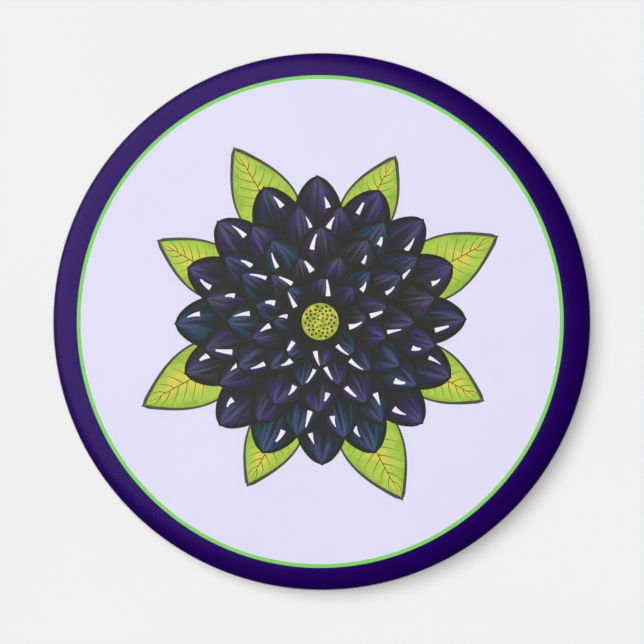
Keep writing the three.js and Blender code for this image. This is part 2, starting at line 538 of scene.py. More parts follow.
class Nodes:
    """A node tree under construction, with short ways to add and join its nodes."""

    def __init__(self, owner):
        owner.use_nodes = True
        self.tree = owner.node_tree

    def feed(self, socket, value):
        """Joins a node's output to a socket, or writes a plain number, place or colour there."""
        if isinstance(value, bpy.types.NodeSocket):
            self.tree.links.new(value, socket)
        else:
            socket.default_value = (*value, 1.0) if socket.type == "RGBA" else value

    def node(self, kind, *first, **values):
        """Adds a node. Plain values feed its first inputs, in their order.

        A value named with a capital feeds the input of that name, and any other sets one of the
        node's own properties.
        """
        node = self.tree.nodes.new("ShaderNode" + kind)
        for key, value in values.items():
            if key[0].isupper():
                self.feed(node.inputs[key.replace("_", " ")], value)
            else:
                setattr(node, key, value)
        for socket, value in zip(node.inputs, first):
            self.feed(socket, value)
        return node

    def math(self, operation, *values):
        """One step of arithmetic."""
        return self.node("Math", *values, operation=operation).outputs[0]

    def plus(self, total, *more):
        """A value plus others, each times its own share."""
        for value, share in more:
            total = self.math("MULTIPLY_ADD", value, share, total)
        return total

    def ease(self, value, low, high, to_low=0.0, to_high=1.0):
        """Goes smoothly from one number to another as the value passes from low to high."""
        ends = {"From_Min": low, "From_Max": high, "To_Min": to_low, "To_Max": to_high}
        node = self.node("MapRange", interpolation_type="SMOOTHSTEP", Value=value, **ends)
        return node.outputs["Result"]

    def mix(self, share, first, second, blend="MIX"):
        """Mixes two colours."""
        node = self.node(
            "Mix", data_type="RGBA", blend_type=blend, Factor=share, A=first, B=second
        )
        return node.outputs["Result"]

    def ramp(self, value, stops):
        """Colours along a scale, given as (place, colour) stops."""
        node = self.node("ValToRGB", value)
        elements = node.color_ramp.elements
        while len(elements) < len(stops):
            elements.new(0.5)
        for element, (position, shade) in zip(elements, stops):
            element.position = position
            element.color = (*shade, 1.0)
        return node.outputs["Color"]

    def either(self, share, first, second):
        """Mixes two shaders."""
        return self.node("MixShader", share, first, second).outputs[0]


class Finish(Nodes):
    """A material under construction."""

    def __init__(self, name, roughness=0.6, specular=0.3, metallic=0.0):
        self.material = bpy.data.materials.new(name)
        super().__init__(self.material)
        self.surface = self.tree.nodes["Principled BSDF"]
        self.output = self.tree.nodes["Material Output"]
        self.wear(Roughness=roughness, Specular_IOR_Level=specular, Metallic=metallic)

    def wear(self, **sockets):
        """Feeds the shader's own sockets, with underscores for the spaces in their names."""
        for key, value in sockets.items():
            self.feed(self.surface.inputs[key.replace("_", " ")], value)
        return self.material

    def place(self):
        """The point being shaded, in the piece's own metres."""
        return self.node("TexCoord").outputs["Object"]

    def stretched(self, scale, turn):
        """Object coordinates scaled along each axis, for grain that runs one way."""
        rotation = (0, 0, turn)
        node = self.node("Mapping", Vector=self.place(), Scale=scale, Rotation=rotation)
        return node.outputs["Vector"]

    def noise(self, size, detail, vector=None, distortion=0.0):
        """Soft noise with features of about this size in metres, or per unit of a given vector."""
        place = self.place() if vector is None else vector
        look = {"Scale": 1 / size, "Detail": detail, "Distortion": distortion}
        return self.node("TexNoise", Vector=place, **look).outputs["Fac"]

    def wander(self, value, low, high):
        """Spreads the middle of a noise over the range from low to high."""
        return self.ease(value, 0.3, 0.7, low, high)

    def tinted(self, base, size, amount):
        """A colour whose brightness wanders by this share, as ink and metal do."""
        bright = self.wander(self.noise(size, 4.0), 1 - amount, 1 + amount)
        grey = self.node("CombineColor", bright, bright, bright)
        return self.mix(1.0, base, grey.outputs["Color"], "MULTIPLY")

    def bump(self, height, distance, strength=1.0):
        """Raises the surface by a height from 0 to 1 over this distance in metres."""
        node = self.node("Bump", Height=height, Distance=distance, Strength=strength)
        return node.outputs["Normal"]


def print_place(finish):
    """How far along and across its motif the point lies: 0 to 1, and -1 to 1."""
    spread = finish.node("SeparateXYZ", finish.node("UVMap", uv_map="PrintMap").outputs[0])
    return spread.outputs["X"], finish.plus(-1.0, (spread.outputs["Y"], 2.0))


def ink_finish(name, base, amount, size=1.4 * MM, bronzing=None):
    """Flat printed ink: the colour wanders slightly, with a fine paper tooth under the film.

    A heavy ink can have a tinted gloss of its own, which printers call bronzing.
    """
    finish = Finish(name, specular=0.05 if bronzing is None else 0.5)
    if bronzing is not None:
        finish.wear(Specular_Tint=bronzing)
    tooth = finish.noise(0.09 * MM, 2.0)
    return finish.wear(
        Base_Color=finish.tinted(base, size, amount),
        Roughness=finish.wander(tooth, 0.46, 0.54),
        Normal=finish.bump(tooth, 0.001 * MM, 0.3),
    )


def leaf_finish():
    """Leaf wash: yellow along the midrib, green outwards, deeper at the edges and tip."""
    inks = settings().inks
    finish = Finish("leaf_wash", roughness=0.62, specular=0.05)
    along, across = print_place(finish)
    uneven = finish.wander(finish.noise(WASH_MOTTLE, 4.0, distortion=0.6), -0.28, 0.28)
    away = finish.math("ADD", finish.math("ABSOLUTE", across), uneven)
    wash = finish.mix(finish.ease(away, 0.0, 0.55), inks.leaf_glow, inks.leaf)
    shade = finish.math("MAXIMUM", finish.ease(away, 0.6, 1.15), finish.ease(along, 0.72, 1.0))
    wash = finish.mix(finish.math("MULTIPLY", shade, 0.8), wash, inks.leaf_shade)
    bright = finish.wander(finish.noise(0.5 * MM, 3.0), 0.0, 0.18)
    return finish.wear(Base_Color=finish.mix(bright, wash, inks.leaf_glow))


def petal_finish():
    """Petal wash: each petal has its own tone of violet, indigo, navy, teal or slate.

    Streaks run from base to tip, either side of a dark crease. The wash sinks into olive-black
    ink along the sides and towards the base, and a pale bloom lies near the tip.
    """
    inks = settings().inks
    finish = Finish("petal_wash", roughness=0.6, specular=0.05)
    along, across = print_place(finish)
    tone = finish.node("Attribute", attribute_name="tone").outputs["Fac"]
    places = ((along, 1.6), (across, 4.2), (tone, 40.0))
    lengthwise = finish.node(
        "CombineXYZ", *(finish.math("MULTIPLY", place, scale) for place, scale in places)
    )
    streaks = finish.noise(1.0, 3.0, lengthwise.outputs[0], 0.3)
    blots = finish.noise(WASH_MOTTLE, 3.0, distortion=0.6)
    hue = finish.math("ADD", tone, finish.wander(blots, -0.2, 0.2))
    hue = finish.math("ADD", hue, finish.wander(streaks, -0.16, 0.16))
    stops = (0.06, 0.24, 0.40, 0.56, 0.74, 0.94)
    washes = (inks.slate, inks.violet, inks.indigo, inks.slate, inks.navy, inks.teal)
    wash = finish.ramp(hue, list(zip(stops, washes)))
    uneven = finish.ease(streaks, 0.25, 0.75, -0.14, 0.14)
    away = finish.math("ABSOLUTE", across)
    reach = finish.math("ADD", along, uneven)
    near_tip, near_crease = finish.ease(reach, 0.6, 0.8), finish.ease(away, 0.62, 0.15, 0.0, 0.7)
    wash = finish.mix(finish.math("MULTIPLY", near_tip, near_crease), wash, inks.haze)
    sides = finish.ease(finish.math("ADD", away, uneven), 0.5, 0.95)
    base = finish.ease(reach, 0.76, 0.5)
    crease = finish.ease(away, 0.16, 0.02, 0.0, 0.75)
    shade = finish.math("MAXIMUM", finish.math("MAXIMUM", sides, base), crease)
    wash = finish.mix(finish.math("MULTIPLY", shade, 0.94), wash, inks.drawing_ink)
    return finish.wear(Base_Color=wash)


def heart_finish():
    """Heart of the flower: olive green that wanders towards yellow."""
    inks = settings().inks
    finish = Finish("heart_wash", roughness=0.6, specular=0.05)
    yellow = finish.ease(finish.noise(0.7 * MM, 3.0), 0.35, 0.7)
    wash = finish.mix(yellow, inks.heart, inks.leaf_glow)
    return finish.wear(Base_Color=finish.tinted(wash, 0.3 * MM, 0.12))


def film_finish(name, gloss):
    """Satin clear film: what is under it shows through, with a soft mirror on top.

    The mirror's share is 0.04 + 0.4 f^5, where f is 0 face on and 1 edge on. It is the same for
    light going in and coming out, as it is for a thin film. Long shallow waves and a few
    hairline scratches break up the mirror.
    """
    finish = Finish(name)
    finish.tree.nodes.remove(finish.surface)
    waves = finish.noise(6.0 * MM, 2.0)
    hairlines = finish.noise(1.0, 2.0, finish.stretched((260, 6500, 260), 0.6))
    scratch = finish.ease(hairlines, 0.66, 0.74)
    height = finish.plus(waves, (scratch, -0.02))
    shine = finish.node(
        "BsdfAnisotropic",
        Roughness=finish.ease(scratch, 0.0, 1.0, 0.36, 0.5),
        Normal=finish.bump(height, 0.01 * MM),
    )
    edge_on = finish.node("LayerWeight").outputs["Facing"]
    share = finish.plus(0.04, (finish.math("POWER", edge_on, 5.0), 0.4))
    share = finish.math("MULTIPLY", share, gloss)
    clear = finish.node("BsdfTransparent").outputs[0]
    film = finish.either(share, clear, shine.outputs[0])
    finish.feed(finish.output.inputs["Surface"], film)
    return finish.material


def paper_finish():
    """Uncoated white back of the sheet, with fibres."""
    finish = Finish("paper_back", roughness=0.85, specular=0.2)
    fibres = finish.noise(0.12 * MM, 4.0, distortion=1.2)
    return finish.wear(
        Base_Color=finish.tinted(printed(236, 234, 228), 0.4 * MM, 0.05),
        Normal=finish.bump(fibres, 0.012 * MM, 0.5),
    )


def tinplate_finish(name, base, ring_size):
    """Tinplate: rolling grain one way, pressing rings round the axis, scuffs and dull patches."""
    finish = Finish(name, metallic=1.0, roughness=0.3)
    grain = finish.noise(1.0, 3.0, finish.stretched((350, 9000, 350), 0.35))
    patches = finish.noise(5.0 * MM, 4.0)
    flat = finish.node("VectorMath", finish.place(), (1, 1, 0), operation="MULTIPLY").outputs[0]
    reach = finish.node("VectorMath", flat, operation="LENGTH").outputs["Value"]
    wobble = finish.plus(reach, (patches, ring_size * 0.8))
    rings = finish.math("SINE", finish.math("MULTIPLY", wobble, TURN / ring_size))
    scratches = finish.noise(1.0, 2.0, finish.stretched((5200, 300, 300), -0.5))
    scuffs = finish.ease(scratches, 0.68, 0.76)
    rough = finish.plus(finish.wander(patches, 0.24, 0.32), (grain, 0.1), (scuffs, 0.18))
    height = finish.plus(grain, (rings, 0.25), (scuffs, -0.8))
    return finish.wear(
        Base_Color=finish.tinted(base, 3.0 * MM, 0.07),
        Roughness=rough,
        Normal=finish.bump(height, 0.006 * MM, 0.6),
    )


def ferrite_finish():
    """Sintered ferrite: near black, grinding lines, pits with painted shade, paler dust in grain.
    """
    finish = Finish("ferrite_ground", roughness=0.6, specular=0.45)
    lines = finish.noise(1.0, 3.0, finish.stretched((160, 5200, 160), 0.2))
    grain = finish.noise(0.25 * MM, 5.0)
    # Pits: small dents in the bump, which the colour below also darkens as painted shade
    pit_dents_and_shade = finish.ease(finish.noise(0.5 * MM, 2.0), 0.7, 0.78)
    shade = finish.mix(finish.ease(lines, 0.3, 0.75), printed(56, 56, 59), printed(71, 71, 75))
    shade = finish.mix(finish.ease(grain, 0.5, 0.75, 0.0, 0.35), shade, printed(98, 96, 94))
    # Painted shade: the pits are painted near black as well as dented
    shade = finish.mix(pit_dents_and_shade, shade, printed(30, 30, 32))
    height = finish.plus(lines, (grain, 0.5), (pit_dents_and_shade, -1.5))
    return finish.wear(
        Base_Color=shade,
        Roughness=finish.wander(lines, 0.48, 0.7),
        Normal=finish.bump(height, 0.007 * MM, 0.6),
    )


def foam_finish():
    """Closed-cell foam tape: creamy white with small cells."""
    finish = Finish("foam_tape", roughness=0.9, specular=0.2)
    cell = 0.16 * MM
    cells = finish.node("TexVoronoi", Vector=finish.place(), Scale=1 / cell)
    return finish.wear(
        Base_Color=finish.tinted(printed(233, 230, 220), 0.8 * MM, 0.06),
        Normal=finish.bump(cells.outputs["Distance"], 0.03 * MM, 0.6),
    )


# ------------------------------------- Motifs of the print -------------------------------------


def disc_grid(half_x, half_y, steps):
    """A filled oval as a square grid bent to it: x = u sqrt(1 - v^2/2), y = v sqrt(1 - u^2/2).

    The grid's lines lie closer together near the edge, where the face turns down.
    """
    line = np.sin(np.linspace(-math.pi / 2, math.pi / 2, steps))
    u, v = line[None, :, None], line[None, None, :]
    return half_x * u * np.sqrt(1 - v * v / 2), half_y * v * np.sqrt(1 - u * u / 2)


def blade_width(along, before, after):
    """Half width of a leaf or petal, 1 at its widest: along^before times (1 - along)^after."""
    widest = before / (before + after)
    peak = widest**before * (1 - widest) ** after
    return along**before * (1 - along) ** after / peak


class Blades:
    """Leaves or petals round a centre, each reaching outwards along its own direction.

    A blade that grows gets longer by more than it gets wider, so that its tip stays sharp. Its
    width closes straight to the least one over the last part of its length.
    """

    tip_growth = 1.6
    last_part = 1 / 24
    least_half_width = 0.012 * MM

    def __init__(self, turn, start, tip, half_width, bend, before, after):
        shaped = (values[:, None, None] for values in (turn, start, tip, half_width, bend))
        self.turn, self.start, self.tip, self.half_width, self.bend = shaped
        self.before, self.after = before, after

    def points(self, along, across, grow=0.0):
        """x and y at a place along (0 to 1) and across (-1 to 1), for each blade.

        The blade runs straight out and bends sideways with the square of its length. Growing it
        moves its whole edge outwards by that much.
        """
        start, tip = self.start - grow, self.tip + self.tip_growth * grow
        reach = start + (tip - start) * along
        half = self.half_width * blade_width(along, self.before, self.after) + grow
        half = half * np.clip((1 - along) / self.last_part, 0, 1)
        half = np.maximum(half, self.least_half_width)
        side = half * across + self.bend * along**2
        cos, sin = np.cos(self.turn), np.sin(self.turn)
        return reach * cos - side * sin, reach * sin + side * cos


def blade_grid(rows, columns):
    """Places along and across a blade, closer together near its ends."""
    along = (1 - np.cos(np.linspace(0, math.pi, rows))) / 2
    return np.meshgrid(along, np.linspace(-1, 1, columns), indexing="ij")


def ribbon(centre_x, centre_y, half_width):
    """A thin stroke along centre lines, with its width measured square to them."""
    ahead_x, ahead_y = np.gradient(centre_x, axis=-1), np.gradient(centre_y, axis=-1)
    size = np.hypot(ahead_x, ahead_y)
    across = np.linspace(-1, 1, 3)
    x = centre_x[..., None] - (ahead_y / size * half_width)[..., None] * across
    y = centre_y[..., None] + (ahead_x / size * half_width)[..., None] * across
    return x, y


def leaf_blades():
    """The leaves: long and short ones in turn, each bent a little to one side."""
    sizes = settings().print_sizes
    number = np.arange(sizes.leaves)
    chance = np.random.default_rng(21)
    long_leaf = number % 2 == 0
    shorter = 1.5 * MM
    tip = sizes.leaf_tip - np.where(long_leaf, 0, shorter)
    return Blades(
        turn=(number + 0.5) / sizes.leaves * TURN + chance.uniform(-0.03, 0.03, len(number)),
        start=np.full(len(number), sizes.leaf_start),
        tip=tip + chance.uniform(-0.2, 0.2, len(number)) * MM,
        half_width=sizes.leaf_half_width * np.where(long_leaf, 1.0, 0.86),
        bend=np.where(long_leaf, 1.0, -1.0) * chance.uniform(0.7, 1.2, len(number)) * MM,
        before=0.95,
        after=1.15,
    )


def vein_lines(leaves):
    """Centre lines and half widths of every leaf's midrib and side veins.

    A side vein leaves the midrib and runs outwards and forwards to near the leaf's edge.
    """
    steps = np.linspace(0, 1, 13)
    starts = np.array([0.42, 0.5, 0.58, 0.66, 0.74, 0.82])
    side = np.repeat([-1, 1], len(starts))[:, None]
    start = np.tile(starts, 2)[:, None] + 0.02 * side
    along = np.concatenate([[0.3 + 0.64 * steps], start + 0.115 * steps])
    across = np.concatenate([[np.zeros_like(steps)], side * 0.82 * steps**0.9])
    side_width = np.tile(0.72 - 0.5 * steps, (len(start), 1))
    width = np.concatenate([[1.15 - 0.8 * steps], side_width])
    centres = [
        np.swapaxes(place, 0, 1).reshape(-1, len(steps)) for place in leaves.points(along, across)
    ]
    half_width = np.repeat(settings().print_sizes.vein * width, len(leaves.turn), axis=0)
    return *centres, half_width


def petal_blades(tier):
    """One tier of petals, each a little uneven, set between the petals of the tier outside it."""
    number, start, tip, half_width = PETAL_TIERS[tier]
    chance = np.random.default_rng(100 + tier)
    step = TURN / number
    evenly = (np.arange(number) + 0.5 * (tier % 2)) * step
    return Blades(
        turn=evenly + chance.uniform(-0.05, 0.05, number) * step,
        start=np.full(number, start * MM),
        tip=(tip + chance.uniform(-0.22, 0.22, number)) * MM,
        half_width=half_width * MM * chance.uniform(0.95, 1.05, number),
        bend=chance.uniform(-0.25, 0.25, number) * MM,
        before=1.0,
        after=0.8,
    )


def petal_depth(tier, across, lift=0.0):
    """Depth of a petal, which tilts across so that each overlaps the next one round."""
    tilt = PETAL_TILT * (across + 1) / 2
    return FIRST_PETAL_DEPTH - tier * PETAL_TIER_RISE - tilt - lift


def glint_shapes(petals, chance):
    """Slender shards beside most petals' creases, each with its own length, taper and slant."""
    number = len(petals.turn)
    along = chance.uniform(0.7, 0.8, number)[:, None, None]
    sides = (-GLINT_ACROSS, GLINT_ACROSS)
    across = chance.choice(sides, number, p=(0.75, 0.25))[:, None, None]
    x, y = petals.points(along, across)
    slant = petals.turn[..., 0] - 0.5 * across[..., 0] + chance.uniform(-0.15, 0.15, (number, 1))
    long = chance.uniform(0.9, 1.8, (number, 1)) * MM
    bend = chance.uniform(0.0, 0.1, (number, 1)) * -np.sign(across[..., 0]) * MM
    steps = np.linspace(-0.5, 0.5, 7)
    bow = bend * (4 * steps**2)
    centre_x = x[..., 0] + long * steps * np.cos(slant) - bow * np.sin(slant)
    centre_y = y[..., 0] + long * steps * np.sin(slant) + bow * np.cos(slant)
    wide = chance.uniform(0.2, 0.33, (number, 1)) * MM
    narrow = chance.uniform(0.02, 0.12, (number, 1)) * MM
    half_width = wide + (narrow - wide) * (steps + 0.5)
    kept = chance.random(number) < 0.9
    return ribbon(centre_x[kept], centre_y[kept], half_width[kept])


# ------------------------------------------ Operators ------------------------------------------


class PieceOperator:
    """Shared settings of the operators that make pieces."""

    bl_options = {"REGISTER", "UNDO"}


class MAGNET_OT_clear_film(PieceOperator, bpy.types.Operator):
    """Make the clear film that covers the print and is tucked in behind the rim"""

    bl_idname = "magnet.clear_film"
    bl_label = "Clear film"

    def execute(self, context):
        rows = len(face_skin(settings().face.curl_sweep, tucked=True)[0])
        finishes = [film_finish("film_gloss", 1.0), film_finish("film_inside", 0.12)]
        inside_first = [1] * (rows - 1) + [0] * rows
        thickness = settings().layers.film_thickness
        film = pleated_layer("film", 0.0, thickness, finishes, inside_first)
        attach(film, BODY)
        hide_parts("clear_film")
        return {"FINISHED"}


class MAGNET_OT_printed_sheet(PieceOperator, bpy.types.Operator):
    """Make the sheet with its dark border, which runs on round the rim"""

    bl_idname = "magnet.printed_sheet"
    bl_label = "Printed sheet"

    def execute(self, context):
        layers, inks = settings().layers, settings().inks
        radius = face_skin(settings().face.curl_sweep, tucked=True)[0][:, 0]
        rim = eased(radius, LOOSE_RADIUS, TIGHT_RADIUS)
        rim[np.argmax(radius) :] = 1.0
        front = np.interp(rim, (0, 1), (layers.sheet_depth, layers.sheet_rim_depth))
        back = np.interp(rim, (0, 1), (layers.sheet_back_depth, layers.sheet_rim_back_depth))
        border = ink_finish("border_ink", inks.border, 0.04, 2.5 * MM, inks.border_gloss)
        paper_first = [1] * len(radius) + [0] * (len(radius) - 1)
        sheet = pleated_layer("sheet", front, back, [border, paper_finish()], paper_first)
        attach(sheet, BODY)
        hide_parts("printed_sheet")
        return {"FINISHED"}


class MAGNET_OT_front_shell(PieceOperator, bpy.types.Operator):
    """Make the domed steel shell with its edge curled under"""

    bl_idname = "magnet.front_shell"
    bl_label = "Front shell"

    def execute(self, context):
        layers = settings().layers
        skin, outward, _ = face_skin(settings().face.shell_sweep, tucked=False)
        inner = layers.shell_depth + layers.shell_thickness
        outline = layer_outline(layers.shell_depth, inner, skin, outward)
        finish = tinplate_finish("shell_steel", printed(188, 189, 192), 0.9 * MM)
        shell = turned_piece("shell", outline, STEEL_SEGMENTS, [finish])
        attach(shell, BODY)
        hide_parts("front_shell")
        return {"FINISHED"}


class MAGNET_OT_back_plate(PieceOperator, bpy.types.Operator):
    """Make the stamped back plate with its bead, flange and rolled lip"""

    bl_idname = "magnet.back_plate"
    bl_label = "Back plate"

    def execute(self, context):
        path = back_plate_path()
        inner_side = path + square_to(path) * settings().plate.thickness
        outline = np.concatenate([path, inner_side[::-1]])
        finish = tinplate_finish("back_tinplate", printed(196, 198, 201), 0.55 * MM)
        plate = turned_piece("back", outline, STEEL_SEGMENTS, [finish])
        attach(plate, BODY)
        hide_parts("back_plate")
        return {"FINISHED"}


def bezier(start, corner, end, steps):
    """Rows along a curve that leaves start and reaches end both aiming at the corner."""
    t = np.linspace(0, 1, steps)[:, None]
    start, corner, end = (np.asarray(p) for p in (start, corner, end))
    return (1 - t) ** 2 * start + 2 * t * (1 - t) * corner + t**2 * end


def back_plate_path():
    """Underside of the back plate, from the axis out: flat, a bead one cosine wave wide, a bend,
    a straight flange and a lip rolled up against the tucked film."""
    plate = settings().plate
    # The flat parts' rows end a little short of the bead and the bend
    middle = joined(np.linspace(0, 14.4, 9) * MM, plate.height)
    share = np.linspace(0, 1, 25)
    dip = (1 - np.cos(TURN * share)) / 2
    bead = joined(
        plate.bead_radius + plate.bead_width * (share - 0.5),
        plate.height - plate.bead_depth * dip,
    )
    edge = joined(np.linspace(18.5, 21.4, 5) * MM, plate.height)
    bend_start = (plate.bend_radius - 0.6 * MM, plate.height)
    bend_corner = (plate.bend_radius, plate.height)
    bend_end = (plate.bend_radius + 0.5 * MM, plate.height - 0.5 * MM)
    bend = bezier(bend_start, bend_corner, bend_end, 12)
    foot = (plate.foot_radius, plate.foot_height)
    lip_start = (plate.foot_radius - 0.45 * MM, plate.foot_height + 0.45 * MM)
    lip = bezier(lip_start, foot, (plate.lip_radius, plate.lip_height), 14)
    flange = np.linspace(bend_end, lip_start, 8)[1:-1]
    return np.concatenate([middle, bead, edge, bend, flange, lip])


class MAGNET_OT_adhesive_pad(PieceOperator, bpy.types.Operator):
    """Make the foam pad between the back plate and the magnet, its cut edge a sum of sines"""

    bl_idname = "magnet.adhesive_pad"
    bl_label = "Adhesive pad"

    def execute(self, context):
        sizes = settings().magnet
        low = sizes.thickness + sizes.pad_gap
        high = low + sizes.pad_thickness
        flat_rows, wall_rows = 10, 6
        swell, cut_depth = 0.05 * MM, 0.02 * MM
        reach = np.linspace(0, sizes.pad_radius - 2 * swell, flat_rows)
        bulge = swell * np.sin(np.linspace(0, math.pi, wall_rows))
        wall = joined(sizes.pad_radius - swell + bulge, np.linspace(low, high, wall_rows))
        outline = np.concatenate([joined(reach, low), wall, joined(reach[::-1], high)])
        chance = np.random.default_rng(3)
        waves = (3, 5, 9, 17, 31)
        cut = sum(np.sin(k * turns(PAD_SEGMENTS) + chance.uniform(0, TURN)) for k in waves)
        ripple = np.zeros((PAD_SEGMENTS, len(outline), 2))
        edge_rows = slice(flat_rows - 1, flat_rows + wall_rows + 1)
        ripple[:, edge_rows, 0] = -cut_depth * (cut[:, None] + 4) / 4
        pad = turned_piece("pad", outline, PAD_SEGMENTS, [foam_finish()], ripple=ripple)
        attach(pad, BODY)
        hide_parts("adhesive_pad")
        return {"FINISHED"}


class MAGNET_OT_disc_magnet(PieceOperator, bpy.types.Operator):
    """Make the ferrite disc with its ground edges and small chips"""

    bl_idname = "magnet.disc_magnet"
    bl_label = "Disc magnet"

    def execute(self, context):
        sizes = settings().magnet
        flat_rows, corner_rows, wall_rows = 14, 7, 9
        hollow = 1.15
        flat = np.linspace(0, sizes.radius - sizes.edge, flat_rows)
        corner = np.linspace(0, 1, corner_rows)
        edge_r = sizes.radius - sizes.edge * (1 - corner)
        edge_z = sizes.edge * corner**hollow
        wall = np.linspace(sizes.edge, sizes.thickness - sizes.edge, wall_rows)[1:-1]
        outline = np.concatenate(
            [
                joined(flat, 0.0)[:-1],
                joined(edge_r, edge_z),
                joined(sizes.radius, wall),
                joined(edge_r, sizes.thickness - edge_z)[::-1],
                joined(flat, sizes.thickness)[-2::-1],
            ]
        )
        ripple = edge_chips(outline)
        magnet = turned_piece(
            "disc", outline, DISC_SEGMENTS, [ferrite_finish()], ripple=ripple, crease=28
        )
        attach(magnet, BODY)
        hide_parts("disc_magnet")
        return {"FINISHED"}


def edge_chips(outline):
    """Moves in radius and height for small chips: bell-shaped dents centred on the two edges."""
    sizes = settings().magnet
    chips = 11
    reach, rise = 0.4 * MM, 0.7
    chance = np.random.default_rng(12)
    ripple = np.zeros((DISC_SEGMENTS, len(outline), 2))
    for edge_height, inward in ((0.0, rise), (sizes.thickness, -rise)):
        from_edge = np.hypot(outline[:, 0] - sizes.radius, outline[:, 1] - edge_height)
        near = np.exp(-((from_edge / reach) ** 2))
        for _ in range(chips):
            centre, width = chance.uniform(0, TURN), chance.uniform(0.025, 0.07)
            away = (turns(DISC_SEGMENTS) - centre + math.pi) % TURN - math.pi
            dent = sizes.chip * chance.uniform(0.3, 1.0) * np.exp(-((away / width) ** 2))
            ripple += joined(-1.0, inward) * (dent[:, None] * near)[..., None]
    return ripple


class MAGNET_OT_panel_and_ring(PieceOperator, bpy.types.Operator):
    """Print the pale panel and the thin ring round it"""

    bl_idname = "magnet.panel_and_ring"
    bl_label = "Panel and ring"

    def execute(self, context):
        sizes, inks = settings().print_sizes, settings().inks
        under_ring = sizes.ring_width / 2
        half_x, half_y = sizes.ring_outer_x - under_ring, sizes.ring_outer_y - under_ring
        places = disc_grid(half_x, half_y, PANEL_LINES)
        panel = ink_finish("panel_ink", inks.panel, 0.006, 9 * MM)
        printed_piece("print_panel", places, PANEL_DEPTH, panel)

        turn = turns(RING_SEGMENTS)[None, :, None]
        inset = np.linspace(sizes.ring_width, 0, 4)
        x = (sizes.ring_outer_x - inset) * np.cos(-turn)
        y = (sizes.ring_outer_y - inset) * np.sin(-turn)
        ring = ink_finish("ring_ink", inks.ring, 0.02)
        printed_piece("print_ring", (x, y), RING_DEPTH, ring, looped=True)
        return {"FINISHED"}


class MAGNET_OT_leaves(PieceOperator, bpy.types.Operator):
    """Print the leaves round the flower, with their outlines and veins"""

    bl_idname = "magnet.leaves"
    bl_label = "Leaves"

    def execute(self, context):
        sizes, inks = settings().print_sizes, settings().inks
        leaves = leaf_blades()
        grid = blade_grid(*LEAF_GRID)
        outline_ink = ink_finish("leaf_outline_ink", inks.leaf_ink, 0.12, LINE_MOTTLE)
        places = leaves.points(*grid, grow=sizes.outline)
        printed_piece("print_leaf_outlines", places, LEAF_EDGE_DEPTH, outline_ink)
        printed_piece("print_leaves", leaves.points(*grid), LEAF_DEPTH, leaf_finish())
        vein_ink = ink_finish("leaf_vein_ink", inks.vein_ink, 0.12, LINE_MOTTLE)
        printed_piece("print_leaf_veins", ribbon(*vein_lines(leaves)), VEIN_DEPTH, vein_ink)
        return {"FINISHED"}


class MAGNET_OT_petals(PieceOperator, bpy.types.Operator):
    """Print the flower's petals tier by tier, with their outlines and glints"""

    bl_idname = "magnet.petals"
    bl_label = "Petals"

    def execute(self, context):
        sizes, inks = settings().print_sizes, settings().inks
        outline_ink = ink_finish("petal_outline_ink", inks.drawing_ink, 0.15, LINE_MOTTLE)
        wash = petal_finish()
        white = ink_finish("glint_ink", inks.glint, 0.04, 0.6 * MM)
        chance = np.random.default_rng(55)
        along, across = blade_grid(*PETAL_GRID)
        for tier in range(len(PETAL_TIERS)):
            petals = petal_blades(tier)
            places = petals.points(along, across, grow=sizes.outline * 0.6)
            depth = petal_depth(tier, across)
            printed_piece(f"print_petal_outlines_{tier + 1}", places, depth, outline_ink)
            places = petals.points(along, across)
            depth = petal_depth(tier, across, INK_STEP)
            tone = chance.permutation(np.linspace(0.0, 1.0, len(petals.turn)))
            printed_piece(f"print_petals_{tier + 1}", places, depth, wash, tone=tone)
            depth = petal_depth(tier, 1.0, INK_STEP * 1.2)
            printed_piece(f"print_glints_{tier + 1}", glint_shapes(petals, chance), depth, white)
        return {"FINISHED"}


class MAGNET_OT_flower_heart(PieceOperator, bpy.types.Operator):
    """Print the heart of the flower, its dots on a sunflower spiral"""

    bl_idname = "magnet.flower_heart"
    bl_label = "Flower heart"

    def execute(self, context):
        sizes, inks = settings().print_sizes, settings().inks
        top = petal_depth(len(PETAL_TIERS), 1.0)
        outline_ink = ink_finish("heart_outline_ink", inks.drawing_ink, 0.15, LINE_MOTTLE)
        rim = sizes.heart_radius + sizes.outline
        printed_piece("print_heart_outline", disc_grid(rim, rim, 25), top, outline_ink)
        places = disc_grid(sizes.heart_radius, sizes.heart_radius, 25)
        printed_piece("print_heart", places, top - INK_STEP, heart_finish())

        # Each dot turns on by the golden angle, and its distance grows with a square root
        golden_angle = math.pi * (3 - math.sqrt(5))
        order = np.arange(sizes.heart_dots)[:, None, None]
        reach = sizes.heart_radius * 0.88 * np.sqrt((order + 0.5) / sizes.heart_dots)
        turn = order * golden_angle
        radius = 0.085 * MM + 0.03 * reach
        dot_x, dot_y = disc_grid(radius, radius, 7)
        places = reach * np.cos(turn) + dot_x, reach * np.sin(turn) + dot_y
        printed_piece("print_heart_dots", places, top - 2 * INK_STEP, outline_ink)
        return {"FINISHED"}


class MAGNET_OT_stage(PieceOperator, bpy.types.Operator):
    """Set the camera straight above, the pale floor and the soft lights"""

    bl_idname = "magnet.stage"
    bl_label = "Stage"

    def execute(self, context):
        make_camera()
        make_floor()
        make_lights()
        make_lights_below()
        make_room()
        context.scene.view_settings.view_transform = "Standard"
        return {"FINISHED"}


def make_camera():
    """A long lens straight above, with the rim's widest height filling the view as set."""
    stage, face = settings().stage, settings().face
    camera = bpy.data.cameras.new("camera")
    camera.sensor_width = 36.0
    camera.lens = camera.sensor_width * (stage.camera_height - face.wall_top) / stage.view_width
    camera.clip_start = 10 * MM
    holder = new_object("camera", camera)
    holder.location = (stage.view_x, stage.view_y, stage.camera_height)
    bpy.context.scene.camera = holder


